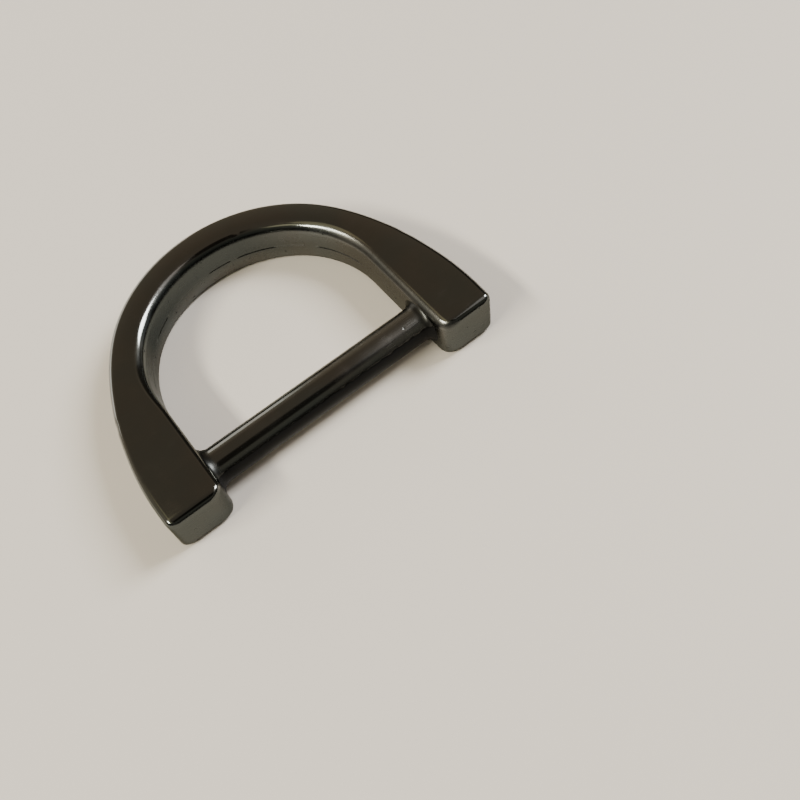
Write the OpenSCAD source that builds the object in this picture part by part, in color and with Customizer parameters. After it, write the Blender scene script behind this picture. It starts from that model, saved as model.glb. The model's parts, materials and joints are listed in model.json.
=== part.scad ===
// Cast D ring: a flat-faced bow widens into two legs, and a round bar joins the legs for the strap.
// The ring lies on its flat underside. X runs along the bar, +Y points to the top of the bow, +Z is up.
// The origin is the middle of the ring's outline, on the underside.

/* [Opening] */
// Clear width between the legs, which is the width of the strap
strap_w = 20; // [14:0.5:26]
// Height of the opening, from the bar's axis to the inside of the bow
eye_h = 16.1; // [14:0.1:40]

/* [Bow and legs] */
// Radius of the opening's arc at the top, over half the opening's width
bow_flat = 0.45; // [0:0.05:1.5]
// Radius of the opening's shoulders, as a share of half its width
shoulder_share = 0.93; // [0.6:0.01:0.98]
// Thickness of the ring, from the underside to the top face
thick = 4.2; // [4:0.1:8]
// Width of the bow at its top
bow_w = 2.75; // [2:0.05:6]
// Width of each leg beside the bar
leg_w = 4.8; // [3.5:0.05:10]
// Reach of the legs past the bar's axis
leg_reach = 3.25; // [2.8:0.05:8]

/* [Bar] */
// Diameter of the bar
bar_d = 3; // [1.6:0.1:3.4]
// Drop of the bar's axis below the middle of the thickness
bar_drop = 0.1; // [0:0.05:0.25]
// Radius of the hollow corner between the bar and a leg
bar_fillet_r = 0.45; // [0.2:0.05:0.6]

/* [Edges] */
// Rounding of the top inner edge round the bow
bow_inner_r = 1; // [0.3:0.05:1.2]
// Rounding of the top inner edge along the legs
leg_inner_r = 0.45; // [0.2:0.05:1]
// Rounding of the top outer edge
top_outer_r = 0.4; // [0.2:0.05:0.8]
// Rounding of the inner edge on the underside
under_inner_r = 0.5; // [0.2:0.05:1]
// Rounding of the outer edge on the underside
under_outer_r = 0.45; // [0.2:0.05:0.8]
// Rounding of the top and bottom edges of a leg's end
end_edge_r = 0.6; // [0.2:0.05:0.8]
// Inner corner of a leg's end, seen from above
end_inner_r = 1.2; // [0.5:0.05:1.5]
// Outer corner of a leg's end, seen from above
end_outer_r = 0.7; // [0.3:0.05:1]

/* [Smoothness] */
// Sections in each quarter of the bow
quarter_steps = 20; // [8:1:32]
// Sections along each straight leg
leg_steps = 7; // [3:1:12]
// Steps round each rounded edge
edge_steps = 5; // [3:1:8]

/* [Hidden] */

gunmetal = [0.27, 0.24, 0.21];

// Rows down one side of the ring, from the top of the bow to the end of the leg.
// WAY: place along the opening's edge, 0 at the top of the bow, 1 where its curve ends, 2 at the end of the leg
// GROWTH: width of the ring there, 0 for bow_w and 1 for leg_w
// SOFTNESS: rounding of the top inner edge there, 0 for leg_inner_r and 1 for bow_inner_r
WAY = 0;
GROWTH = 1;
SOFTNESS = 2;
ROWS = [
    [0.00, 0.00, 1.00],
    [0.30, 0.00, 1.00],
    [0.50, 0.00, 1.00],
    [0.68, 0.02, 1.00],
    [0.80, 0.10, 0.92],
    [0.90, 0.25, 0.55],
    [1.00, 0.48, 0.20],
    [1.16, 0.68, 0.00],
    [1.45, 0.92, 0.00],
    [1.70, 1.00, 0.00],
    [2.00, 0.97, 0.00],
];

// The opening's edge is a wide arc over the top, a tighter arc at each shoulder and two straight legs.
// Every y is counted from the bar's axis.
half_w = strap_w / 2;
bow_r = half_w + bow_flat;
shoulder_r = half_w * shoulder_share;
bow_y = eye_h - bow_r;
shoulder_x = half_w - shoulder_r;
shoulder_y = bow_y + sqrt(pow(bow_r - shoulder_r, 2) - pow(shoulder_x, 2));
bow_turn = atan2(shoulder_x, shoulder_y - bow_y);
bow_len = bow_r * bow_turn * PI / 180;
arc_len = bow_len + shoulder_r * (90 - bow_turn) * PI / 180;

// The legs and the whole outline
leg_len = shoulder_y + leg_reach;
side_len = arc_len + leg_len;
ring_h = eye_h + bow_w + leg_reach;
bar_y = leg_reach - ring_h / 2;
bar_z = thick / 2 - bar_drop;

// A fillet takes at most this share of the wall that it rounds
fillet_share = 0.45;
// Smallest rounding left at the corners of a leg's flat end
least_r = 0.05;
// Steps of the rounding at a leg's end, and the depth of leg that it takes
end_steps = 6;
end_depth = max(end_inner_r, end_outer_r, end_edge_r);
// Depth of the bar's ends inside the legs, and of the fillet's rim behind the leg's inner face
bar_root = leg_w / 2;
rim_sink = 0.03;
smooth_fn = 96;

function limited(r, wall) = min(r, wall * fillet_share);

// Distance along the opening's edge from the top of the bow, for a row of the table
function row_s(k) = let(way = ROWS[k][WAY]) min(way, 1) * arc_len + max(way - 1, 0) * leg_len;

function row_before(s, k = 0) = k < len(ROWS) - 2 && s >= row_s(k + 1) ? row_before(s, k + 1) : k;

// Steepness of a column at a row, so that the rows join in one smooth curve
function row_slope(k, column) =
    k == 0 ? 0 :
    let(next = min(k + 1, len(ROWS) - 1))
    (ROWS[next][column] - ROWS[k - 1][column]) / (row_s(next) - row_s(k - 1));

function column_at(s, column) =
    let(
        k = row_before(s),
        span = row_s(k + 1) - row_s(k),
        t = (s - row_s(k)) / span,
        rise = t * t * (3 - 2 * t),
        bend_in = t * (1 - t) * (1 - t) * span * row_slope(k, column),
        bend_out = t * t * (t - 1) * span * row_slope(k + 1, column)
    )
    ROWS[k][column] * (1 - rise) + ROWS[k + 1][column] * rise + bend_in + bend_out;

function width_at(s) = bow_w + (leg_w - bow_w) * column_at(s, GROWTH);
function inner_r_at(s) = leg_inner_r + (bow_inner_r - leg_inner_r) * column_at(s, SOFTNESS);

// Direction and point on the opening's edge at distance s from the top of the bow, on the side with positive x
function turn_at(s) =
    s < bow_len ? s / bow_r * 180 / PI : min(90, bow_turn + (s - bow_len) / shoulder_r * 180 / PI);
function outward_at(s) = let(a = turn_at(s)) [sin(a), cos(a)];
function foot_at(s) =
    let(out = outward_at(s))
    s < bow_len ? [0, bow_y] + bow_r * out :
    [shoulder_x, shoulder_y] + shoulder_r * out - [0, max(0, s - arc_len)];

// Bite that a rounding of radius r takes at depth d from the end of a leg
function bite(r, d) = d >= r ? 0 : r - sqrt(r * r - (r - d) * (r - d));

function corner(u, z, r, start) =
    [for (i = [0:edge_steps]) let(a = start + 90 * i / edge_steps) [u + r * cos(a), z + r * sin(a)]];

// Cross-section at distance s: u runs from the opening outwards and z from the underside up
function section(s) =
    let(
        d = max(0, side_len - s),
        w = width_at(s),
        edge = bite(end_edge_r, d),
        u0 = bite(end_inner_r, d),
        u1 = w - bite(end_outer_r, d),
        z1 = thick - edge,
        wall = min(w, thick),
        top_in = max(least_r, limited(inner_r_at(s), wall) - edge),
        top_out = max(least_r, limited(top_outer_r, wall) - edge),
        low_out = max(least_r, limited(under_outer_r, wall) - edge),
        low_in = max(least_r, limited(under_inner_r, wall) - edge)
    )
    concat(
        corner(u1 - top_out, z1 - top_out, top_out, 0),
        corner(u0 + top_in, z1 - top_in, top_in, 90),
        corner(u0 + low_in, edge + low_in, low_in, 180),
        corner(u1 - low_out, edge + low_out, low_out, 270)
    );

// The same section set on the ring, on the side that sign says
function placed(s, sign) =
    let(foot = foot_at(s), out = outward_at(s))
    [for (p = section(s)) [sign * (foot.x + out.x * p[0]), foot.y + out.y * p[0], p[1]]];

// Distances of the sections down one side, closer together at the rounded end
SIDE_S = concat(
    [for (i = [1:quarter_steps]) arc_len * i / quarter_steps],
    [for (i = [1:leg_steps]) arc_len + (leg_len - end_depth) * i / leg_steps],
    [for (i = [1:end_steps]) side_len - end_depth * (1 - sin(90 * i / end_steps))]
);
LAST = len(SIDE_S) - 1;

// Bow and legs in one sweep, from the end of one leg over the bow to the end of the other
module bow() {
    rings = concat(
        [for (i = [LAST:-1:0]) placed(SIDE_S[i], -1)],
        [placed(0, 1)],
        [for (s = SIDE_S) placed(s, 1)]
    );
    n = len(rings[0]);
    skin = [
        for (i = [0:len(rings) - 2], j = [0:n - 1])
            let(next = (j + 1) % n)
            [i * n + j, (i + 1) * n + j, (i + 1) * n + next, i * n + next]
    ];
    first_end = [for (j = [0:n - 1]) j];
    last_end = [for (j = [n - 1:-1:0]) (len(rings) - 1) * n + j];
    polyhedron(points = [for (ring = rings) each ring], faces = concat([first_end], skin, [last_end]));
}

// Half of the bar's profile as [radius, place along the bar], from its middle to the end hidden in the leg.
// The fillet is limited by the leg's wall below the bar.
function bar_profile() =
    let(
        bar_r = bar_d / 2,
        fillet_r = max(least_r, min(bar_fillet_r, bar_z - bar_r - least_r)),
        rim_r = bar_r + fillet_r,
        rim_x = half_w + rim_sink
    )
    concat(
        [for (i = [0:edge_steps]) let(a = 180 - 90 * i / edge_steps)
            [rim_r + fillet_r * cos(a), rim_x - fillet_r + fillet_r * sin(a)]],
        [[rim_r, half_w + bar_root], [0, half_w + bar_root]]
    );

// Round bar, turned in one piece with the hollow fillet at each leg
module bar() {
    half = bar_profile();
    other_half = [for (i = [len(half) - 1:-1:0]) [half[i].x, -half[i].y]];
    rotate([0, 90, 0])
        rotate_extrude($fn = smooth_fn)
            polygon(concat(other_half, half));
}

module d_ring() {
    color(gunmetal)
        translate([0, bar_y, 0])
            union() {
                bow();
                translate([0, 0, bar_z])
                    bar();
            }
}

d_ring();
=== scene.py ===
"""Cast D ring in black nickel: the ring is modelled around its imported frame, then lit on a pale floor."""

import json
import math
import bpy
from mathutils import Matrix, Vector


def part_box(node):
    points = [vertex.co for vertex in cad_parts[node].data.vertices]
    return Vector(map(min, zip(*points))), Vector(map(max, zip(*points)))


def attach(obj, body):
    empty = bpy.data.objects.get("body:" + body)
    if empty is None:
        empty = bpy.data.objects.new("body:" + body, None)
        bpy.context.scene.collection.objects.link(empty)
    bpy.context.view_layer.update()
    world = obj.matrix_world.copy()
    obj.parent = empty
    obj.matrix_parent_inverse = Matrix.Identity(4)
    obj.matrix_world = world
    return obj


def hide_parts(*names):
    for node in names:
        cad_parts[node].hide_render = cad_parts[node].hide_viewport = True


bl_info = {
    "name": "Cast D ring",
    "version": (1, 0, 0),
    "blender": (4, 5, 0),
    "location": "View3D > Sidebar > D ring",
    "description": "Models a black-nickel D ring with a flat bow, wide legs and a round bar, and its studio",
    "category": "Object",
}

import bmesh
import bpy
from mathutils import Matrix, Vector

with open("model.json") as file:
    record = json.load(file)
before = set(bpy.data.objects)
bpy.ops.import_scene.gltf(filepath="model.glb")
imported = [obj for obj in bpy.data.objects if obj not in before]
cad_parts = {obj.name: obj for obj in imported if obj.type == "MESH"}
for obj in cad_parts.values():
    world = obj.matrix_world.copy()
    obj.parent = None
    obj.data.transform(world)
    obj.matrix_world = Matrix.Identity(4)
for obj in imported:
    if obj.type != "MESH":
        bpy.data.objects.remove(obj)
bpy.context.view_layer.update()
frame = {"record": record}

# Sizes that the frame gives, in metres
MM = 0.001
LOW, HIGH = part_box("d_ring")
MOUNTS = {mount["name"]: Vector(mount["pos_m"]) for mount in frame["record"]["mounts"]}
BAR_AT = MOUNTS["strap_bar"]
BOW_SEAT = MOUNTS["bow_seat"]
STRAP_W = 20 * MM
THICK = HIGH.z - LOW.z
LEG_W = HIGH.x - STRAP_W / 2
BOW_W = HIGH.y - BOW_SEAT.y

# Rows down one side of the ring. WAY is 0 at the top of the bow, 1 where the opening's curve ends and
# 2 at the end of the leg. GROWTH is 0 for the bow's width and 1 for the leg's. SOFTNESS is 1 for the
# wide rounding of the bow's inner edge and 0 for the narrow one along the leg.
WAY, GROWTH, SOFTNESS = 0, 1, 2
ROWS = [
    (0.00, 0.00, 1.00),
    (0.30, 0.00, 1.00),
    (0.50, 0.00, 1.00),
    (0.68, 0.02, 1.00),
    (0.80, 0.10, 0.92),
    (0.90, 0.25, 0.55),
    (1.00, 0.48, 0.20),
    (1.16, 0.68, 0.00),
    (1.45, 0.92, 0.00),
    (1.70, 1.00, 0.00),
    (2.00, 0.97, 0.00),
]

# Steps round the wide arc, round the shoulder, down a leg, round its end, along half the bar and round its
# flare
ARC_STEPS = 26
SHOULDER_STEPS = 26
LEG_STEPS = 14
END_STEPS = 9
BAR_STEPS = 8
FLARE_STEPS = 10

# Sides of the round bar, and the depth of its flare's rim behind the leg's inner face
BAR_SIDES = 72
RIM_SINK = 0.03 * MM

# Rim inside a leg's flat end that keeps its shading flat
END_INSET = 0.12 * MM

# Sharpest turn between two faces that still looks round
SMOOTH_TURN = math.radians(24)

# Stretches of the parting line by x on the inner wall, in mm, and the share of its height left there
SEAM_STRETCHES = [
    (-9.6, -8.1, 0.5),
    (-7.4, -5.2, 0.8),
    (-4.6, -1.0, 0.4),
    (-0.6, 1.9, 0.7),
    (2.1, 5.6, 1.0),
    (5.9, 7.7, 0.6),
    (8.0, 9.9, 1.0),
]

# Lines cut along the inner wall, in widths of the parting line from its middle. Only the middle one is
# lifted, and the outer two keep the shading of the wall flat.
SEAM_CUTS = (-0.8, -0.5, 0, 0.5, 0.8)

# Greatest upward part of the normal of a face that counts as upright
UPRIGHT = 0.2

# Small nick on the bow's inner rounding: its place, its reach and how far its middle moves
NICK_AT = Vector((3.05 * MM, 8.45 * MM, 4.08 * MM))
NICK_REACH = 0.3 * MM
NICK_MOVE = (0, 0.015 * MM, -0.06 * MM)

# Size of each pattern of the plating, in cells to the metre
CLOUD_SCALE = 160.0
WAVE_SCALE = 520.0
PIT_SCALE = 1500.0
SPECK_SCALE = 2400.0
GRAIN_SCALE = 5200.0
RUB_SCALE = 9000.0
RAGGED_SCALE = 1100.0

# Share of the pits' cells that hold a pit, on the bow and legs and on the bar, and what the polished faces
# keep of their pits. Then how far a pit darkens the plating, and the height of a rub mark in micrometres.
CAST_PITS = 0.11
BAR_PITS = 0.10
PITS_LEFT = 0.05
PIT_DARKNESS = 0.75
RUB_HEIGHT = -0.08

# Shine of the plating at a glancing view, and roughness of the lacquer and of the floor
GLANCING_SHINE = 0.1
LACQUER_ROUGHNESS = 0.12
FLOOR_ROUGHNESS = 0.6

# Roughness that each mark adds to the plating
HAZE_ROUGHNESS = 0.05
RUB_ROUGHNESS = 0.06
TARNISH_AND_SHADE_ROUGHNESS = 0.22
PIT_ROUGHNESS = 0.3

# Middle of the bar's painted dark streak, a painted shade in place of the floor's reflection, turned from the
# top of the bar towards the front, and its reach to each side
SHADE_STREAK_TURN = math.radians(92)
SHADE_STREAK_REACH = math.radians(35)

# Lamps: name, compass from +Y towards +X, height over the floor, width and height seen from the ring, all in
# degrees, then radiance and colour
LAMPS = [
    ("right_window", 94, 42, 17, 25, 32.0, (0.96, 0.98, 1.0)),
    ("right_glow", 112, 55, 28, 26, 0.9, (1.0, 0.93, 0.93)),
    ("right_low", 101, 14, 26, 26, 0.45, (0.95, 0.97, 1.0)),
    ("left_tube", -88, 42, 31, 6, 66.0, (1.0, 0.97, 0.84)),
    ("left_glow", -117, 48, 26, 11, 1.2, (1.0, 0.95, 0.6)),
    ("left_ceiling", -62, 62, 38, 17, 0.62, (1.0, 0.9, 0.52)),
    ("far_left", -16, 13, 46, 26, 2.0, (1.0, 0.97, 0.92)),
]
LAMP_DISTANCE = 1.0

# Dark things in the room: compass, height, reach of the darkest part and of the whole, and the light left
DARK = [
    (176, 61, 12, 19, 0.15),
    (58, 12, 20, 36, 0.12),
]

# Light of the room by the sine of the height over the horizon, on the bow's side and on the bar's side
FAR_SIDE = [
    (0.00, (0.42, 0.36, 0.27)),
    (0.30, (0.50, 0.43, 0.32)),
    (0.56, (0.44, 0.37, 0.27)),
    (0.76, (0.255, 0.208, 0.152)),
    (1.00, (0.240, 0.200, 0.152)),
]
NEAR_SIDE = [
    (0.00, (0.012, 0.012, 0.010)),
    (0.22, (0.030, 0.030, 0.026)),
    (0.42, (0.190, 0.186, 0.155)),
    (0.62, (0.210, 0.204, 0.165)),
    (1.00, (0.240, 0.200, 0.152)),
]

# Share of the way from the bar's side to the bow's side where one light gives way to the other
SIDE_START, SIDE_END = -0.45, 0.35

# Pale backdrop behind the floor, which only the camera sees
BACKDROP = (1.10, 1.02, 0.91, 1)

# Size of the floor, width of the camera's sensor in mm, and the shift that frames the ring as in the photo
FLOOR_SIZE = 3.0
SENSOR_W = 36.0
CAMERA_SHIFT = (-0.0018, 0.0006)

# Closeness at which two points count as one
SAME = 0.001 * MM

# Unit of the plating's relief
MICROMETRE = 0.001 * MM


def length_prop(name, description, default, **more):
    return bpy.props.FloatProperty(name=name, description=description, default=default, unit="LENGTH", **more)


def share_prop(name, description, default):
    return bpy.props.FloatProperty(name=name, description=description, default=default, subtype="FACTOR")


def angle_prop(name, description, default):
    return bpy.props.FloatProperty(name=name, description=description, default=default, subtype="ANGLE")


def colour_prop(name, description, default):
    return bpy.props.FloatVectorProperty(
        name=name, description=description, default=default, size=3, subtype="COLOR", min=0, max=1
    )


class DRING_PG_shape(bpy.types.PropertyGroup):
    """Sizes of the casting."""

    strap_w: length_prop("Strap width", "Clear width between the legs", STRAP_W)
    bow_flat: length_prop(
        "Bow flatness", "Radius of the opening's arc at the top, over half the strap width", 0.45 * MM
    )
    shoulder_share: share_prop(
        "Shoulder share", "Radius of the opening's shoulders, as a share of half the strap width", 0.93
    )
    bow_w: length_prop("Bow width", "Width of the bow at its top", BOW_W)
    leg_w: length_prop("Leg width", "Greatest width of a leg", LEG_W)
    thick: length_prop("Thickness", "Thickness of the casting", THICK)
    bar_d: length_prop("Bar diameter", "Diameter of the round bar", 3.0 * MM)
    bar_fillet_r: length_prop(
        "Bar fillet", "Hollow corner over and under the bar where it meets a leg", 0.25 * MM
    )
    bar_flare: length_prop(
        "Bar flare", "Hollow corner before and behind the bar where it meets a leg", 0.8 * MM
    )
    bow_inner_r: length_prop(
        "Inner edge on the bow", "Rounding of the top inner edge round the bow", 1.0 * MM
    )
    left_inner_r: length_prop(
        "Inner edge on the left leg", "Rounding of the top inner edge along the left leg", 0.5 * MM
    )
    right_inner_r: length_prop(
        "Inner edge on the right leg",
        "Rounding of the top inner edge along the right leg, which polishing wore rounder",
        0.85 * MM,
    )
    top_outer_r: length_prop("Outer top edge", "Rounding of the top outer edge", 0.5 * MM)
    under_inner_r: length_prop("Inner underside edge", "Rounding of the inner edge underneath", 0.5 * MM)
    under_outer_r: length_prop("Outer underside edge", "Rounding of the outer edge underneath", 0.45 * MM)
    end_edge_r: length_prop("Leg end edges", "Rounding of the top and bottom edges of a leg's end", 0.6 * MM)
    end_inner_r: length_prop("Leg end inner corner", "Inner corner of a leg's end, seen from above", 1.2 * MM)
    end_outer_r: length_prop("Leg end outer corner", "Outer corner of a leg's end, seen from above", 0.7 * MM)
    seam_z: length_prop(
        "Parting line height", "Height of the mould's parting line above the underside", 1.7 * MM
    )
    seam_w: length_prop("Parting line width", "Width of the parting line", 0.15 * MM)
    seam_h: length_prop("Parting line relief", "How far the parting line stands out", 0.05 * MM)


class DRING_PG_finish(bpy.types.PropertyGroup):
    """Colours and polish of the plating."""

    plating: colour_prop("Plating", "Reflected colour of the black nickel", (0.140, 0.148, 0.141))
    warm_plating: colour_prop(
        "Warm plating", "Browner colour that the plating drifts to", (0.152, 0.147, 0.134)
    )
    # Painted shade: besides the pits and specks, this colour paints a dark streak low on the bar's front in
    # place of the floor's reflection, and shade in the bar's hollow corners
    tarnish: colour_prop(
        "Tarnish", "Colour of the dull streak along the bar and of the pits", (0.006, 0.006, 0.006)
    )
    # Painted shade: a darker reflected colour standing in for the shaded floor that the inner wall and the
    # leg ends mirror
    film: colour_prop(
        "Film", "Reflected colour under the film on the inner wall and the leg ends", (0.061, 0.067, 0.064)
    )
    rim_tint: colour_prop("Rim tint", "How much of the glancing shine is left at the rims", (0.5, 0.5, 0.48))
    polish: share_prop("Polish", "Roughness of the polished faces", 0.11)
    wall_polish: share_prop("Wall polish", "Roughness of the walls", 0.24)
    wave_height: length_prop(
        "Wave height", "Height of the soft waves that polishing left on the faces", 0.004 * MM, precision=6
    )
    pit_depth: length_prop("Pit depth", "Depth of the fine casting pits", 0.012 * MM, precision=6)


class DRING_PG_studio(bpy.types.PropertyGroup):
    """Camera, floor and light."""

    camera_at: bpy.props.FloatVectorProperty(
        name="Camera place",
        description="Place of the camera over the ring",
        default=(-10.51 * MM, -42.57 * MM, 60.22 * MM),
        size=3,
        subtype="TRANSLATION",
    )
    heading: angle_prop("Heading", "Turn of the view from +Y towards +X", math.radians(26.32))
    dip: angle_prop("Dip", "How far the camera looks down", math.radians(60.05))
    roll: angle_prop("Roll", "Turn of the camera about its view", math.radians(-13.03))
    lens: bpy.props.FloatProperty(
        name="Lens", description="Focal length on a sensor 36 mm wide", default=40.1, min=1
    )
    floor: colour_prop("Floor", "Colour of the floor", (0.672, 0.610, 0.535))


# The opening's edge


def row_at(way, column):
    """Value of a column of ROWS at a place down the side, on one smooth curve through the rows."""
    last = len(ROWS) - 1
    k = max(i for i in range(last) if ROWS[i][WAY] <= way + 1e-9)
    span = ROWS[k + 1][WAY] - ROWS[k][WAY]
    t = (way - ROWS[k][WAY]) / span

    def slope(i):
        if i == 0:
            return 0.0
        after = min(i + 1, last)
        return (ROWS[after][column] - ROWS[i - 1][column]) / (ROWS[after][WAY] - ROWS[i - 1][WAY])

    rise = t * t * (3 - 2 * t)
    bend_in = t * (1 - t) ** 2 * span * slope(k)
    bend_out = t * t * (t - 1) * span * slope(k + 1)
    return ROWS[k][column] * (1 - rise) + ROWS[k + 1][column] * rise + bend_in + bend_out


class Edge:
    """The opening's edge on the side with positive x: a wide arc, a tighter shoulder and a straight leg."""

    def __init__(self, shape, leg_inner_r):
        half_w = shape.strap_w / 2
        self.shape = shape
        self.leg_inner_r = leg_inner_r
        self.bow_r = half_w + shape.bow_flat
        self.shoulder_r = half_w * shape.shoulder_share
        self.bow_centre = Vector((0, BOW_SEAT.y - self.bow_r, 0))
        across = half_w - self.shoulder_r
        down = math.sqrt((self.bow_r - self.shoulder_r) ** 2 - across**2)
        self.shoulder_centre = self.bow_centre + Vector((across, down, 0))
        self.bow_turn = math.atan2(across, down)
        self.bow_len = self.bow_r * self.bow_turn
        self.arc_len = self.bow_len + self.shoulder_r * (math.pi / 2 - self.bow_turn)
        self.leg_len = self.shoulder_centre.y - LOW.y
        self.length = self.arc_len + self.leg_len

    def turn(self, s):
        """Turn of the edge at a distance from the top of the bow."""
        if s < self.bow_len:
            return s / self.bow_r
        return min(math.pi / 2, self.bow_turn + (s - self.bow_len) / self.shoulder_r)

    def outward(self, s):
        return Vector((math.sin(self.turn(s)), math.cos(self.turn(s)), 0))

    def foot(self, s):
        """Point on the edge at a distance from the top of the bow."""
        if s < self.bow_len:
            return self.bow_centre + self.bow_r * self.outward(s)
        past = Vector((0, max(0, s - self.arc_len), 0))
        return self.shoulder_centre + self.shoulder_r * self.outward(s) - past

    def way(self, s):
        """Place on the scale of ROWS."""
        return min(s / self.arc_len, 1) + max(s - self.arc_len, 0) / self.leg_len

    def width(self, s):
        growth = min(1, row_at(self.way(s), GROWTH))
        return self.shape.bow_w + (self.shape.leg_w - self.shape.bow_w) * growth

    def softness(self, s):
        """Radius of the top inner edge."""
        share = row_at(self.way(s), SOFTNESS)
        return self.leg_inner_r + (self.shape.bow_inner_r - self.leg_inner_r) * share


# Modelling by hand, in edit mode


def deselect_all():
    for o in bpy.context.selected_objects:
        o.select_set(False)


def edit(o):
    bpy.context.view_layer.objects.active = o
    bpy.ops.object.mode_set(mode="EDIT")
    bpy.ops.mesh.select_mode(type="VERT")


def leave_edit():
    bpy.ops.object.mode_set(mode="OBJECT")


def pick(test, among=None):
    """Selects the vertices whose place passes the test, and nothing else, and returns how many."""
    mesh = bmesh.from_edit_mesh(bpy.context.edit_object.data)
    verts = mesh.verts if among is None else among(mesh)
    chosen = {v.index for v in verts if test(v.co)}
    for f in mesh.faces:
        f.select = False
    for e in mesh.edges:
        e.select = False
    for v in mesh.verts:
        v.select = v.index in chosen
    mesh.select_flush(True)
    bmesh.update_edit_mesh(bpy.context.edit_object.data)
    return len(chosen)


def move(offset):
    bpy.ops.transform.translate(value=offset)


def scale(value, centre):
    bpy.ops.transform.resize(value=value, center_override=centre)


def apply_modifier(o, name):
    bpy.context.view_layer.objects.active = o
    bpy.ops.object.modifier_apply(modifier=name)


def start_section(edge):
    """Cross-section at the top of the bow: a plane with its four corners rounded."""
    shape = edge.shape
    centre = (0, BOW_SEAT.y + shape.bow_w / 2, shape.thick / 2)
    deselect_all()
    bpy.ops.mesh.primitive_plane_add(size=1, location=centre, rotation=(0, math.pi / 2, 0))
    section = bpy.context.active_object
    bpy.ops.object.transform_apply(location=True, rotation=True, scale=True)
    edit(section)
    bpy.ops.mesh.select_all(action="SELECT")
    scale((1, shape.bow_w, shape.thick), centre)
    inner, outer = BOW_SEAT.y, BOW_SEAT.y + shape.bow_w
    corners = (
        (inner, shape.thick, shape.bow_inner_r, 12),
        (outer, shape.thick, shape.top_outer_r, 8),
        (outer, 0, shape.under_outer_r, 6),
        (inner, 0, shape.under_inner_r, 6),
    )
    for y, z, radius, segments in corners:
        pick(lambda co: abs(co.y - y) < SAME and abs(co.z - z) < SAME)
        bpy.ops.mesh.bevel(
            offset=radius, offset_type="OFFSET", segments=segments, profile=0.5, affect="VERTICES"
        )
    bpy.ops.mesh.select_all(action="SELECT")
    return section


class Station:
    """The open end of the casting while it is extruded. It reshapes only the end's own vertices."""

    def __init__(self, edge, s, width, softness):
        self.edge, self.s, self.width, self.softness = edge, s, width, softness

    def end_verts(self, mesh):
        foot, along = self.edge.foot(self.s), self.edge.outward(self.s).cross(Vector((0, 0, 1)))
        return [v for v in mesh.verts if abs((v.co - foot).dot(along)) < SAME and self.u(v.co) > -SAME]

    def u(self, co):
        """Distance outwards from the opening's edge."""
        return (co - self.edge.foot(self.s)).dot(self.edge.outward(self.s))

    def pick(self, test):
        return pick(test, among=self.end_verts)

    def reshape(self):
        """Widens the end and narrows its top inner rounding to what the rows ask for here."""
        out = self.edge.outward(self.s)
        width, softness = self.edge.width(self.s), self.edge.softness(self.s)
        if abs(width - self.width) > SAME / 10:
            self.pick(lambda co: self.u(co) > self.width / 2)
            move(out * (width - self.width))
            self.width = width
        if abs(softness - self.softness) > SAME / 10:
            top, reach = self.edge.shape.thick, self.softness + SAME
            corner = self.edge.foot(self.s) + Vector((0, 0, top))
            self.pick(lambda co: self.u(co) < reach and co.z > top - reach)
            share = softness / self.softness
            scale((share, share, share), corner)
            self.softness = softness
        self.pick(lambda co: True)


def bite(radius, depth):
    """Bite that a rounding takes at a depth from the end of a leg."""
    if depth >= radius:
        return 0.0
    return radius - math.sqrt(radius**2 - (radius - depth) ** 2)


def extrude_side(edge):
    """Extrudes the section down one side, from the top of the bow to the end of the leg."""
    shape = edge.shape
    station = Station(edge, 0, shape.bow_w, shape.bow_inner_r)
    arcs = (
        (edge.bow_centre, edge.bow_turn, edge.bow_r, ARC_STEPS),
        (edge.shoulder_centre, math.pi / 2 - edge.bow_turn, edge.shoulder_r, SHOULDER_STEPS),
    )
    for centre, turn, radius, steps in arcs:
        for _ in range(steps):
            bpy.ops.mesh.spin(steps=1, angle=turn / steps, center=centre, axis=(0, 0, 1))
            station.s += radius * turn / steps
            station.reshape()
    end_depth = max(shape.end_inner_r, shape.end_outer_r, shape.end_edge_r)
    step = (edge.leg_len - end_depth) / LEG_STEPS
    for _ in range(LEG_STEPS):
        bpy.ops.mesh.extrude_region_move(TRANSFORM_OT_translate={"value": (0, -step, 0)})
        station.s += step
        station.reshape()
    round_end(station, end_depth)


def round_end(station, end_depth):
    """Closes a leg with a flat end whose edges and corners are rounded."""
    edge, shape = station.edge, station.edge.shape
    depth = end_depth
    inner = outer = flat = 0.0
    for i in range(1, END_STEPS + 1):
        new_depth = end_depth * (1 - math.sin(math.pi / 2 * i / END_STEPS))
        bpy.ops.mesh.extrude_region_move(TRANSFORM_OT_translate={"value": (0, new_depth - depth, 0)})
        station.s += depth - new_depth
        depth = new_depth
        new_inner = bite(shape.end_inner_r, depth)
        new_outer = bite(shape.end_outer_r, depth) + station.width - edge.width(station.s)
        new_flat = bite(shape.end_edge_r, depth)
        middle = station.width / 2
        station.pick(lambda co: station.u(co) < middle)
        move((new_inner - inner, 0, 0))
        station.pick(lambda co: station.u(co) > middle)
        move((outer - new_outer, 0, 0))
        station.pick(lambda co: co.z > shape.thick / 2)
        move((0, 0, flat - new_flat))
        station.pick(lambda co: co.z < shape.thick / 2)
        move((0, 0, new_flat - flat))
        inner, outer, flat = new_inner, new_outer, new_flat
        station.pick(lambda co: True)
    bpy.ops.mesh.inset(thickness=END_INSET)


def open_middle():
    """Takes out the face in the middle plane, where the other half joins, and leaves edit mode."""
    pick(lambda co: abs(co.x) < SAME)
    bpy.ops.mesh.select_mode(type="FACE")
    bpy.ops.mesh.delete(type="ONLY_FACE")
    bpy.ops.mesh.select_mode(type="VERT")
    leave_edit()


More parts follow.
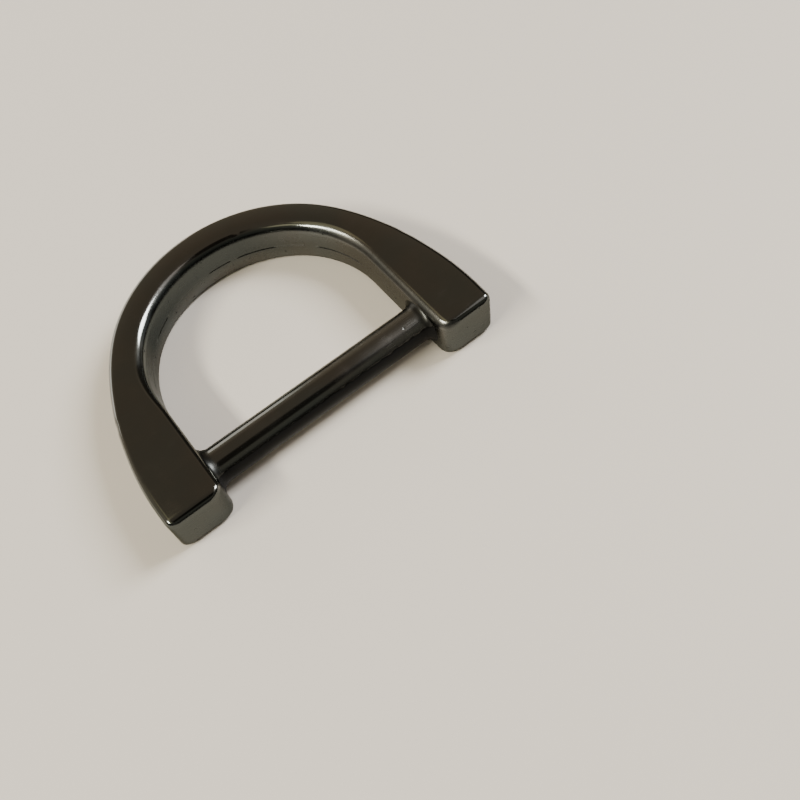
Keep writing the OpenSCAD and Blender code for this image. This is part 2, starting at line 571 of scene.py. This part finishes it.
def mirror_across(o):
    """Adds the other half across the middle plane and closes the seam."""
    half = o.modifiers.new("other half", "MIRROR")
    half.use_axis = (True, False, False)
    half.use_mirror_merge = True
    half.merge_threshold = SAME
    apply_modifier(o, half.name)


def flip_across(o):
    """Turns a half into its mirror image across the middle plane."""
    edit(o)
    bpy.ops.mesh.select_all(action="SELECT")
    scale((-1, 1, 1), (0, 0, 0))
    leave_edit()


def join_halves(right, left):
    deselect_all()
    left.select_set(True)
    right.select_set(True)
    bpy.context.view_layer.objects.active = right
    bpy.ops.object.join()


def turn_faces_out(o):
    edit(o)
    bpy.ops.mesh.select_all(action="SELECT")
    bpy.ops.mesh.remove_doubles(threshold=SAME / 10)
    bpy.ops.mesh.normals_make_consistent(inside=False)
    leave_edit()


def raise_parting_line(bow, edge):
    """Cuts lines along the inner wall of the bow and lifts the middle one where the mould's line is left."""
    shape = edge.shape
    edit(bow)
    bpy.ops.mesh.select_mode(type="FACE")
    for step in SEAM_CUTS:
        mesh = bmesh.from_edit_mesh(bow.data)
        for f in mesh.faces:
            middle = f.calc_center_median()
            inwards = abs(f.normal.z) < UPRIGHT and f.normal.dot(edge.bow_centre - middle) > 0
            over_bar = middle.y > BAR_AT.y + shape.bar_d
            f.select = inwards and over_bar and abs(middle.x) < shape.strap_w / 2 + SAME
        bmesh.update_edit_mesh(bow.data)
        cut = (0, 0, shape.seam_z + step * shape.seam_w)
        bpy.ops.mesh.bisect(plane_co=cut, plane_no=(0, 0, 1), threshold=SAME / 10)
    bpy.ops.mesh.select_mode(type="VERT")
    for low, high, share in SEAM_STRETCHES:
        found = pick(
            lambda co: abs(co.z - shape.seam_z) < SAME
            and low * MM < co.x < high * MM
            and (co - edge.bow_centre).xy.length < edge.bow_r + SAME
            and co.y > BAR_AT.y + shape.bar_d
        )
        if not found:
            raise RuntimeError("a stretch of the parting line has no points")
        centre = (edge.bow_centre.x, edge.bow_centre.y, shape.seam_z)
        shrink = 1 - share * shape.seam_h / edge.bow_r
        scale((shrink, shrink, 1), centre)
    leave_edit()


def dent(o, place, reach, offset):
    """Small dent: the points near a place move by an offset, less towards the dent's rim."""
    edit(o)
    if not pick(lambda co: (co - place).length < reach / 3):
        raise RuntimeError("no point near the dent")
    bpy.ops.transform.translate(
        value=offset,
        use_proportional_edit=True,
        proportional_edit_falloff="SMOOTH",
        proportional_size=reach,
    )
    leave_edit()


class DRING_OT_bow(bpy.types.Operator):
    """Models the bow and the two legs, with the parting line and a nick"""

    bl_idname = "dring.bow"
    bl_label = "Bow and legs"

    def execute(self, context):
        shape = context.scene.dring_shape
        halves = []
        for leg_inner_r in (shape.right_inner_r, shape.left_inner_r):
            edge = Edge(shape, leg_inner_r)
            halves.append(start_section(edge))
            extrude_side(edge)
            open_middle()
        bow, left = halves
        flip_across(left)
        join_halves(bow, left)
        turn_faces_out(bow)
        raise_parting_line(bow, edge)
        dent(bow, NICK_AT, NICK_REACH, NICK_MOVE)
        bow.name = bow.data.name = "cast_bow"
        return {"FINISHED"}


def bar_profile(shape):
    """Place along the bar, half its depth and half its height, from its middle to the end in the leg."""
    radius, flare, fillet = shape.bar_d / 2, shape.bar_flare, shape.bar_fillet_r
    rim = shape.strap_w / 2 + RIM_SINK
    rows = [((rim - flare) * k / BAR_STEPS, radius, radius) for k in range(1, BAR_STEPS + 1)]
    for i in range(1, FLARE_STEPS + 1):
        a = math.pi / 2 * i / FLARE_STEPS
        rise = 1 - math.cos(a)
        rows.append((rim - flare + flare * math.sin(a), radius + flare * rise, radius + fillet * rise))
    rows.append((rim + shape.leg_w / 2, radius + flare, radius + fillet))
    return rows


class DRING_OT_bar(bpy.types.Operator):
    """Models the round bar with its hollow fillets and fuses it with the legs"""

    bl_idname = "dring.bar"
    bl_label = "Bar"

    def execute(self, context):
        shape = context.scene.dring_shape
        deselect_all()
        bpy.ops.mesh.primitive_circle_add(
            vertices=BAR_SIDES,
            radius=shape.bar_d / 2,
            fill_type="NGON",
            location=(0, BAR_AT.y, BAR_AT.z),
            rotation=(0, math.pi / 2, 0),
        )
        bar = bpy.context.active_object
        bpy.ops.object.transform_apply(location=True, rotation=True, scale=True)
        edit(bar)
        bpy.ops.mesh.select_all(action="SELECT")
        x, deep, high = 0.0, shape.bar_d / 2, shape.bar_d / 2
        for new_x, new_deep, new_high in bar_profile(shape):
            bpy.ops.mesh.extrude_region_move(TRANSFORM_OT_translate={"value": (new_x - x, 0, 0)})
            scale((1, new_deep / deep, new_high / high), (new_x, BAR_AT.y, BAR_AT.z))
            x, deep, high = new_x, new_deep, new_high
        open_middle()
        mirror_across(bar)
        turn_faces_out(bar)
        fuse(bpy.data.objects["cast_bow"], bar)
        return {"FINISHED"}


def fuse(body, added):
    """Fuses two closed meshes into one."""
    union = body.modifiers.new("fuse", "BOOLEAN")
    union.operation = "UNION"
    union.solver = "EXACT"
    union.object = added
    apply_modifier(body, union.name)
    bpy.data.objects.remove(added)


class DRING_OT_finish(bpy.types.Operator):
    """Smooths and plates the ring, and sets it in place of the plain casting"""

    bl_idname = "dring.finish"
    bl_label = "Plating"

    def execute(self, context):
        ring = bpy.data.objects["cast_bow"]
        ring.name = ring.data.name = "cast_ring"
        deselect_all()
        ring.select_set(True)
        bpy.context.view_layer.objects.active = ring
        bpy.ops.object.shade_smooth_by_angle(angle=SMOOTH_TURN)
        finish, shape = context.scene.dring_finish, context.scene.dring_shape
        ring.data.materials.clear()
        ring.data.materials.append(plated("cast_nickel", finish, CAST_PITS, cast_masks))
        ring.data.materials.append(plated("bar_nickel", finish, BAR_PITS, bar_masks(shape)))
        reach = shape.bar_d / 2 + shape.bar_flare + SAME
        for face in ring.data.polygons:
            off_axis = Vector((0, face.center.y - BAR_AT.y, face.center.z - BAR_AT.z)).length
            face.material_index = int(off_axis < reach and abs(face.center.x) < shape.strap_w / 2 - SAME)
        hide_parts("d_ring")
        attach(ring, "root")
        return {"FINISHED"}


# Shader nodes


def new_group(name, inputs, outputs):
    """Shader node group with named sockets, and its input and output nodes."""
    tree = bpy.data.node_groups.new(name, "ShaderNodeTree")
    for socket, kind in inputs:
        tree.interface.new_socket(socket, in_out="INPUT", socket_type="NodeSocket" + kind)
    for socket, kind in outputs:
        tree.interface.new_socket(socket, in_out="OUTPUT", socket_type="NodeSocket" + kind)
    return tree, tree.nodes.new("NodeGroupInput").outputs, tree.nodes.new("NodeGroupOutput").inputs


def feed(tree, socket, value):
    if isinstance(value, bpy.types.NodeSocket):
        tree.links.new(value, socket)
    else:
        socket.default_value = value


def place_group(tree, name, **values):
    """Outputs of a shared node group, with the values fed to the sockets of the same names."""
    node = tree.nodes.new("ShaderNodeGroup")
    node.node_tree = shared_group(name)
    for socket, value in values.items():
        feed(tree, node.inputs[socket.replace("_", " ").capitalize()], value)
    return node.outputs


def calc(tree, operation, *values):
    node = tree.nodes.new("ShaderNodeMath")
    node.operation = operation
    for socket, value in zip(node.inputs, values):
        feed(tree, socket, value)
    return node.outputs[0]


def split(tree, vector):
    """X, Y and Z of a vector."""
    node = tree.nodes.new("ShaderNodeSeparateXYZ")
    feed(tree, node.inputs[0], vector)
    return [node.outputs[axis] for axis in "XYZ"]


def product(tree, first, *others):
    for other in others:
        first = calc(tree, "MULTIPLY", first, other)
    return first


def greatest(tree, first, *others):
    for other in others:
        first = calc(tree, "MAXIMUM", first, other)
    return first


def fade(tree, value, low, high, to_low=0.0, to_high=1.0):
    """Smooth step of a value between two limits."""
    node = tree.nodes.new("ShaderNodeMapRange")
    node.interpolation_type = "SMOOTHSTEP"
    feed(tree, node.inputs["Value"], value)
    node.inputs["From Min"].default_value, node.inputs["From Max"].default_value = low, high
    node.inputs["To Min"].default_value, node.inputs["To Max"].default_value = to_low, to_high
    return node.outputs["Result"]


def blend(tree, share, first, second):
    node = tree.nodes.new("ShaderNodeMix")
    node.data_type = "RGBA"
    feed(tree, node.inputs["Factor"], share)
    feed(tree, node.inputs["A"], first)
    feed(tree, node.inputs["B"], second)
    return node.outputs["Result"]


def noise(tree, vector, scale, detail=2.0, roughness=0.5):
    node = tree.nodes.new("ShaderNodeTexNoise")
    feed(tree, node.inputs["Vector"], vector)
    feed(tree, node.inputs["Scale"], scale)
    node.inputs["Detail"].default_value = detail
    node.inputs["Roughness"].default_value = roughness
    return node.outputs["Fac"]


def drift_group():
    """Colour that drifts between the plating and a browner plating in broad soft clouds."""
    tree, given, result = new_group(
        "plating_drift",
        [("Vector", "Vector"), ("Scale", "Float"), ("Plating", "Color"), ("Warm plating", "Color")],
        [("Color", "Color"), ("Haze", "Float")],
    )
    clouds = fade(tree, noise(tree, given["Vector"], given["Scale"], 3.0), 0.38, 0.68)
    tree.links.new(blend(tree, clouds, given["Plating"], given["Warm plating"]), result["Color"])
    fine = noise(tree, given["Vector"], calc(tree, "MULTIPLY", given["Scale"], 4.0), 4.0, 0.6)
    tree.links.new(fade(tree, fine, 0.42, 0.75), result["Haze"])
    return tree


def skin_group():
    """Relief of a polished casting: soft waves with a fine grain on them."""
    tree, given, result = new_group(
        "casting_skin",
        [
            ("Vector", "Vector"),
            ("Wave scale", "Float"),
            ("Wave height", "Float"),
            ("Grain scale", "Float"),
            ("Grain height", "Float"),
        ],
        [("Height", "Float")],
    )
    waves = noise(tree, given["Vector"], given["Wave scale"], 1.0)
    waves = calc(tree, "MULTIPLY", waves, given["Wave height"])
    grain = noise(tree, given["Vector"], given["Grain scale"], 3.0, 0.6)
    tree.links.new(calc(tree, "MULTIPLY_ADD", grain, given["Grain height"], waves), result["Height"])
    return tree


def pits_group():
    """Scattered round pits of different sizes. Share is how many of the cells hold a pit."""
    tree, given, result = new_group(
        "casting_pits",
        [("Vector", "Vector"), ("Scale", "Float"), ("Share", "Float")],
        [("Mask", "Float")],
    )
    cells = tree.nodes.new("ShaderNodeTexVoronoi")
    tree.links.new(given["Vector"], cells.inputs["Vector"])
    tree.links.new(given["Scale"], cells.inputs["Scale"])
    pick_cell = tree.nodes.new("ShaderNodeSeparateColor")
    tree.links.new(cells.outputs["Color"], pick_cell.inputs["Color"])
    held = calc(tree, "LESS_THAN", pick_cell.outputs["Red"], given["Share"])
    radius = calc(tree, "MULTIPLY_ADD", pick_cell.outputs["Green"], 0.22, 0.08)
    deep = fade(tree, calc(tree, "DIVIDE", cells.outputs["Distance"], radius), 0.4, 1.0, 1.0, 0.0)
    tree.links.new(calc(tree, "MULTIPLY", deep, held), result["Mask"])
    return tree


def rub_group():
    """Fine rub marks: thin lines in two directions, broken by soft clouds."""
    tree, given, result = new_group(
        "rub_marks",
        [("Vector", "Vector"), ("Scale", "Float")],
        [("Mask", "Float")],
    )
    lines = []
    for turn, stretch in ((35, 0.06), (-50, 0.09)):
        laid = tree.nodes.new("ShaderNodeMapping")
        laid.inputs["Rotation"].default_value = (0.3, 0.2, math.radians(turn))
        laid.inputs["Scale"].default_value = (stretch, 1.0, 1.0)
        tree.links.new(given["Vector"], laid.inputs["Vector"])
        lines.append(fade(tree, noise(tree, laid.outputs["Vector"], given["Scale"], 2.0), 0.56, 0.70))
    coarse = calc(tree, "MULTIPLY", given["Scale"], 0.12)
    broken = fade(tree, noise(tree, given["Vector"], coarse), 0.42, 0.62)
    both = calc(tree, "MAXIMUM", *lines)
    tree.links.new(calc(tree, "MULTIPLY", both, broken), result["Mask"])
    return tree


GROUP_MAKERS = {
    "plating_drift": drift_group,
    "casting_skin": skin_group,
    "casting_pits": pits_group,
    "rub_marks": rub_group,
}


def shared_group(name):
    """Node group of that name, built once and then shared."""
    return bpy.data.node_groups.get(name) or GROUP_MAKERS[name]()


def plated(name, finish, pit_share, masks):
    """Black nickel over a casting. masks makes what changes over the piece: dull is the share of the satin
    finish, tarnish that of the tarnish and of the painted shade, film that of the painted
    shade on the walls and leg ends, a darker reflected colour in which the metal still shines, lacquer that
    of the clear lacquer, and grain is the height of the grain in micrometres."""
    material = bpy.data.materials.new(name)
    material.use_nodes = True
    tree = material.node_tree
    shader = tree.nodes["Principled BSDF"]
    shader.inputs["Specular Tint"].default_value = (*finish.rim_tint, 1)
    shader.inputs["Specular IOR Level"].default_value = GLANCING_SHINE
    shader.inputs["Coat Roughness"].default_value = LACQUER_ROUGHNESS
    here = tree.nodes.new("ShaderNodeTexCoord").outputs
    where = here["Object"]
    mask = masks(tree, where, here["Normal"])
    drift = place_group(
        tree,
        "plating_drift",
        vector=where,
        scale=CLOUD_SCALE,
        plating=(*finish.plating, 1),
        warm_plating=(*finish.warm_plating, 1),
    )
    pits = place_group(tree, "casting_pits", vector=where, scale=PIT_SCALE, share=pit_share)["Mask"]
    pits = calc(tree, "MULTIPLY", pits, calc(tree, "MULTIPLY_ADD", mask["dull"], 1 - PITS_LEFT, PITS_LEFT))
    rubs = place_group(tree, "rub_marks", vector=where, scale=RUB_SCALE)["Mask"]
    skin = place_group(
        tree,
        "casting_skin",
        vector=where,
        wave_scale=WAVE_SCALE,
        wave_height=finish.wave_height / MICROMETRE,
        grain_scale=GRAIN_SCALE,
        grain_height=mask["grain"],
    )["Height"]

    # The tarnish and the painted shade darken the metal before they hide its shine
    tarnish = (*finish.tarnish, 1)
    colour = blend(tree, calc(tree, "MULTIPLY", pits, PIT_DARKNESS), drift["Color"], tarnish)
    # Painted shade: the darker reflected colour on the inner wall and the leg ends
    colour = blend(tree, mask["film"], colour, (*finish.film, 1))
    colour = blend(tree, fade(tree, mask["tarnish"], 0.0, 0.6), colour, tarnish)
    feed(tree, shader.inputs["Base Color"], colour)
    feed(tree, shader.inputs["Metallic"], fade(tree, mask["tarnish"], 0.5, 0.9, 1.0, 0.0))
    feed(tree, shader.inputs["Coat Weight"], mask["lacquer"])

    rough = calc(tree, "MULTIPLY_ADD", mask["dull"], finish.wall_polish - finish.polish, finish.polish)
    marks = (
        (drift["Haze"], HAZE_ROUGHNESS),
        (rubs, RUB_ROUGHNESS),
        (mask["tarnish"], TARNISH_AND_SHADE_ROUGHNESS),
        (pits, PIT_ROUGHNESS),
    )
    for value, more in marks:
        rough = calc(tree, "MULTIPLY_ADD", value, more, rough)
    feed(tree, shader.inputs["Roughness"], rough)

    deep = calc(tree, "MULTIPLY", pits, -finish.pit_depth / MICROMETRE)
    relief = calc(tree, "ADD", calc(tree, "MULTIPLY_ADD", rubs, RUB_HEIGHT, deep), skin)
    bump = tree.nodes.new("ShaderNodeBump")
    bump.inputs["Distance"].default_value = MICROMETRE
    feed(tree, bump.inputs["Height"], relief)
    feed(tree, shader.inputs["Normal"], bump.outputs["Normal"])
    return material


def cast_masks(tree, where, normal):
    """Bow and legs: polished where the casting faces up or down, satin on its upright walls."""
    x, y, z = split(tree, where)
    level = calc(tree, "ABSOLUTE", split(tree, normal)[2])
    facing = tree.nodes.new("ShaderNodeVectorMath")
    facing.operation = "DOT_PRODUCT"
    feed(tree, facing.inputs[0], where)
    feed(tree, facing.inputs[1], normal)
    # In metres from the middle of the opening, and negative where the surface faces it
    facing = facing.outputs["Value"]

    tilted = fade(tree, level, 0.1, 0.4)
    wall = fade(tree, level, 0.3, 0.82, 1.0, 0.0)
    rounding = product(tree, tilted, fade(tree, level, 0.6, 0.995, 1.0, 0.0))

    def inner_edge(side, start, full):
        """Inner rounding beside the opening, on the side with positive or negative x, down to the bar."""
        along = calc(tree, "MULTIPLY", x, side)
        beside = fade(tree, along, 11.2 * MM, 11.8 * MM, 1.0, 0.0)
        return product(tree, fade(tree, along, start, full), beside, rounding)

    # Duller still on the inner rounding of the right leg, and between the left glint and the top of the bow
    right = product(tree, inner_edge(1, 8.6 * MM, 9.6 * MM), 1.5)
    left = product(tree, inner_edge(-1, 1.5 * MM, 3.0 * MM), fade(tree, x, -7.2 * MM, -5.0 * MM, 0.1, 1.2))

    # Coarser grain on the inner rounding from the left leg to the top of the bow
    coarse = product(
        tree,
        tilted,
        fade(tree, level, 0.8, 0.98, 1.0, 0.0),
        fade(tree, x, 2.0 * MM, 5.0 * MM, 1.0, 0.0),
        fade(tree, facing, -4.5 * MM, -1.0 * MM, 1.0, 0.0),
    )

    # Specks of tarnish low on the walls, and the plating darker along the right inner edge
    low = fade(tree, z, 0.2 * THICK, 0.8 * THICK, 0.5, 0.05)
    specks = product(tree, low, fade(tree, noise(tree, where, SPECK_SCALE, 4.0, 0.7), 0.60, 0.72))
    edge = product(tree, inner_edge(1, 7.5 * MM, 9.5 * MM), 0.27)

    # Painted shade on the bow's inner wall: a darker reflected colour that stands in for the shaded floor it
    # mirrors, fainter towards the legs and the underside, and on the leg ends
    film = product(
        tree,
        fade(tree, facing, -4.5 * MM, -1.5 * MM, 1.0, 0.0),
        fade(tree, x, -9.6 * MM, -7.5 * MM, 0.1, 1.0),
        fade(tree, x, 2.5 * MM, 11.0 * MM, 1.0, 0.1),
        fade(tree, z, 0.1 * THICK, 0.5 * THICK, 0.1, 1.0),
    )
    shaded_leg_ends = fade(tree, y, LOW.y + 0.25 * MM, LOW.y + 0.7 * MM, 0.65, 0.0)

    # Lacquer left round the outside of the bow
    lacquer = product(
        tree,
        fade(tree, facing, 1.0 * MM, 3.0 * MM),
        fade(tree, level, 0.88, 0.98, 1.0, 0.0),
        fade(tree, y, -9.0 * MM, -6.0 * MM),
    )
    return {
        "dull": greatest(tree, wall, left, right),
        "tarnish": greatest(tree, specks, edge),
        "film": greatest(tree, film, shaded_leg_ends),
        "lacquer": lacquer,
        "grain": calc(tree, "MULTIPLY_ADD", coarse, 1.3, 0.25),
    }


def bar_masks(shape):
    """Bar: duller towards the right leg and in the hollow corners, with painted shade in the hollow corners
    and a painted dark streak low on its front, in place of the floor's reflection.
    """
    corner = shape.strap_w / 2 - shape.bar_flare

    def masks(tree, where, normal):
        x, y, z = split(tree, where)
        worn = fade(tree, x, 0.0, 7.0 * MM, 0.15, 1.0)
        hollow = fade(tree, calc(tree, "ABSOLUTE", x), corner, corner + 0.5 * MM)
        forward = calc(tree, "DIVIDE", calc(tree, "SUBTRACT", BAR_AT.y, y), shape.bar_d / 2)
        upward = calc(tree, "DIVIDE", calc(tree, "SUBTRACT", z, BAR_AT.z), shape.bar_d / 2)
        radius = calc(tree, "MULTIPLY_ADD", upward, upward, calc(tree, "MULTIPLY", forward, forward))
        radius = calc(tree, "SQRT", radius)
        across = calc(tree, "MULTIPLY", forward, math.sin(SHADE_STREAK_TURN))
        across = calc(tree, "MULTIPLY_ADD", upward, math.cos(SHADE_STREAK_TURN), across)
        ragged = noise(tree, where, RAGGED_SCALE, 3.0, 0.6)
        ragged = calc(tree, "MULTIPLY_ADD", ragged, 0.16, calc(tree, "DIVIDE", across, radius))
        rim = math.cos(SHADE_STREAK_REACH) + 0.08
        # Painted shade: the dark streak low on the bar's front, where the bar would mirror the floor
        front = fade(tree, ragged, rim - 0.05, rim + 0.07, 0.0, 0.97)
        return {
            "dull": greatest(tree, worn, hollow),
            # Painted shade in the hollow corners where the bar meets the legs
            "tarnish": greatest(tree, front, product(tree, hollow, 0.4)),
            "film": 0.0,
            "lacquer": 0.0,
            "grain": 0.35,
        }

    return masks


class DRING_OT_studio(bpy.types.Operator):
    """Adds the floor, the camera and the light"""

    bl_idname = "dring.studio"
    bl_label = "Studio"

    def execute(self, context):
        studio = context.scene.dring_studio
        add_camera(studio)
        add_floor(studio)
        light_room(context.scene)
        add_lamps(context.scene)
        return {"FINISHED"}


def add_camera(studio):
    camera = bpy.data.cameras.new("camera")
    camera.sensor_width = SENSOR_W
    camera.lens = studio.lens
    camera.shift_x, camera.shift_y = CAMERA_SHIFT
    camera.clip_start, camera.clip_end = 1 * MM, 10.0
    placed = bpy.data.objects.new("camera", camera)
    bpy.context.scene.collection.objects.link(placed)
    look = (
        Matrix.Rotation(-studio.heading, 4, "Z")
        @ Matrix.Rotation(math.pi / 2 - studio.dip, 4, "X")
        @ Matrix.Rotation(studio.roll, 4, "Z")
    )
    placed.matrix_world = Matrix.Translation(studio.camera_at) @ look
    bpy.context.scene.camera = placed


def add_floor(studio):
    deselect_all()
    bpy.ops.mesh.primitive_plane_add(size=FLOOR_SIZE, location=(0, 0, 0))
    floor = bpy.context.active_object
    floor.name = floor.data.name = "floor"
    material = bpy.data.materials.new("pale_floor")
    material.use_nodes = True
    shader = material.node_tree.nodes["Principled BSDF"]
    shader.inputs["Base Color"].default_value = (*studio.floor, 1)
    shader.inputs["Roughness"].default_value = FLOOR_ROUGHNESS
    floor.data.materials.append(material)


def towards(compass, height):
    """Unit vector to a compass angle from +Y towards +X and a height over the floor, in degrees."""
    a, e = math.radians(compass), math.radians(height)
    return Vector((math.sin(a) * math.cos(e), math.cos(a) * math.cos(e), math.sin(e)))


def colour_ramp(nodes, stops):
    """Ramp through the stops, each a place and a colour."""
    ramp = nodes.new("ShaderNodeValToRGB")
    elements = ramp.color_ramp.elements
    elements[0].position, elements[1].position = stops[0][0], stops[-1][0]
    elements[0].color, elements[1].color = (*stops[0][1], 1), (*stops[-1][1], 1)
    for place, colour in stops[1:-1]:
        elements.new(place).color = (*colour, 1)
    return ramp


def light_room(scene):
    """Light of the room all round the ring, dimmed where something dark stands, and the backdrop."""
    world = bpy.data.worlds.new("room")
    scene.world = world
    world.use_nodes = True
    tree = world.node_tree
    background = tree.nodes["Background"]
    where = tree.nodes.new("ShaderNodeTexCoord").outputs["Generated"]
    _, y, z = split(tree, where)
    sides = [colour_ramp(tree.nodes, NEAR_SIDE), colour_ramp(tree.nodes, FAR_SIDE)]
    for ramp in sides:
        tree.links.new(z, ramp.inputs["Fac"])
    near, far = (ramp.outputs["Color"] for ramp in sides)
    room = blend(tree, fade(tree, y, SIDE_START, SIDE_END), near, far)
    strength = 1.0
    for compass, height, inner, outer, left_over in DARK:
        near_it = tree.nodes.new("ShaderNodeVectorMath")
        near_it.operation = "DOT_PRODUCT"
        near_it.inputs[1].default_value = towards(compass, height)
        tree.links.new(where, near_it.inputs[0])
        limits = math.cos(math.radians(outer)), math.cos(math.radians(inner))
        shade = fade(tree, near_it.outputs["Value"], *limits, 1.0, left_over)
        strength = calc(tree, "MULTIPLY", shade, strength)
    seen = tree.nodes.new("ShaderNodeLightPath").outputs["Is Camera Ray"]
    feed(tree, background.inputs["Color"], blend(tree, seen, room, BACKDROP))
    feed(tree, background.inputs["Strength"], calc(tree, "MAXIMUM", strength, seen))


def add_lamps(scene):
    """Area lamps round the ring, each facing it."""
    for name, compass, height, wide, high, radiance, colour in LAMPS:
        lamp = bpy.data.lights.new(name, "AREA")
        lamp.shape = "RECTANGLE"
        lamp.size = 2 * LAMP_DISTANCE * math.tan(math.radians(wide / 2))
        lamp.size_y = 2 * LAMP_DISTANCE * math.tan(math.radians(high / 2))
        lamp.energy = radiance * math.pi * lamp.size * lamp.size_y
        lamp.color = colour
        placed = bpy.data.objects.new(name, lamp)
        scene.collection.objects.link(placed)
        away = towards(compass, height)
        placed.location = away * LAMP_DISTANCE
        placed.rotation_euler = away.to_track_quat("Z", "Y").to_euler()


class DRING_PT_panel(bpy.types.Panel):
    """Lists the sizes, colours and steps of the D ring"""

    bl_idname = "DRING_PT_panel"
    bl_label = "D ring"
    bl_space_type = "VIEW_3D"
    bl_region_type = "UI"
    bl_category = "D ring"

    def draw(self, context):
        for group in (context.scene.dring_shape, context.scene.dring_finish, context.scene.dring_studio):
            box = self.layout.box()
            for name in group.__annotations__:
                box.prop(group, name)
        for step in STEPS:
            self.layout.operator(step.bl_idname)


STEPS = (DRING_OT_bow, DRING_OT_bar, DRING_OT_finish, DRING_OT_studio)
GROUPS = {"dring_shape": DRING_PG_shape, "dring_finish": DRING_PG_finish, "dring_studio": DRING_PG_studio}


def register():
    for group in GROUPS.values():
        bpy.utils.register_class(group)
    for step in STEPS:
        bpy.utils.register_class(step)
    bpy.utils.register_class(DRING_PT_panel)
    for name, group in GROUPS.items():
        setattr(bpy.types.Scene, name, bpy.props.PointerProperty(type=group))


def unregister():
    for name in GROUPS:
        delattr(bpy.types.Scene, name)
    bpy.utils.unregister_class(DRING_PT_panel)
    for step in reversed(STEPS):
        bpy.utils.unregister_class(step)
    for group in reversed(list(GROUPS.values())):
        bpy.utils.unregister_class(group)


def main():
    register()
    bpy.ops.dring.bow()
    bpy.ops.dring.bar()
    bpy.ops.dring.finish()
    bpy.ops.dring.studio()


if __name__ == "__main__":
    main()
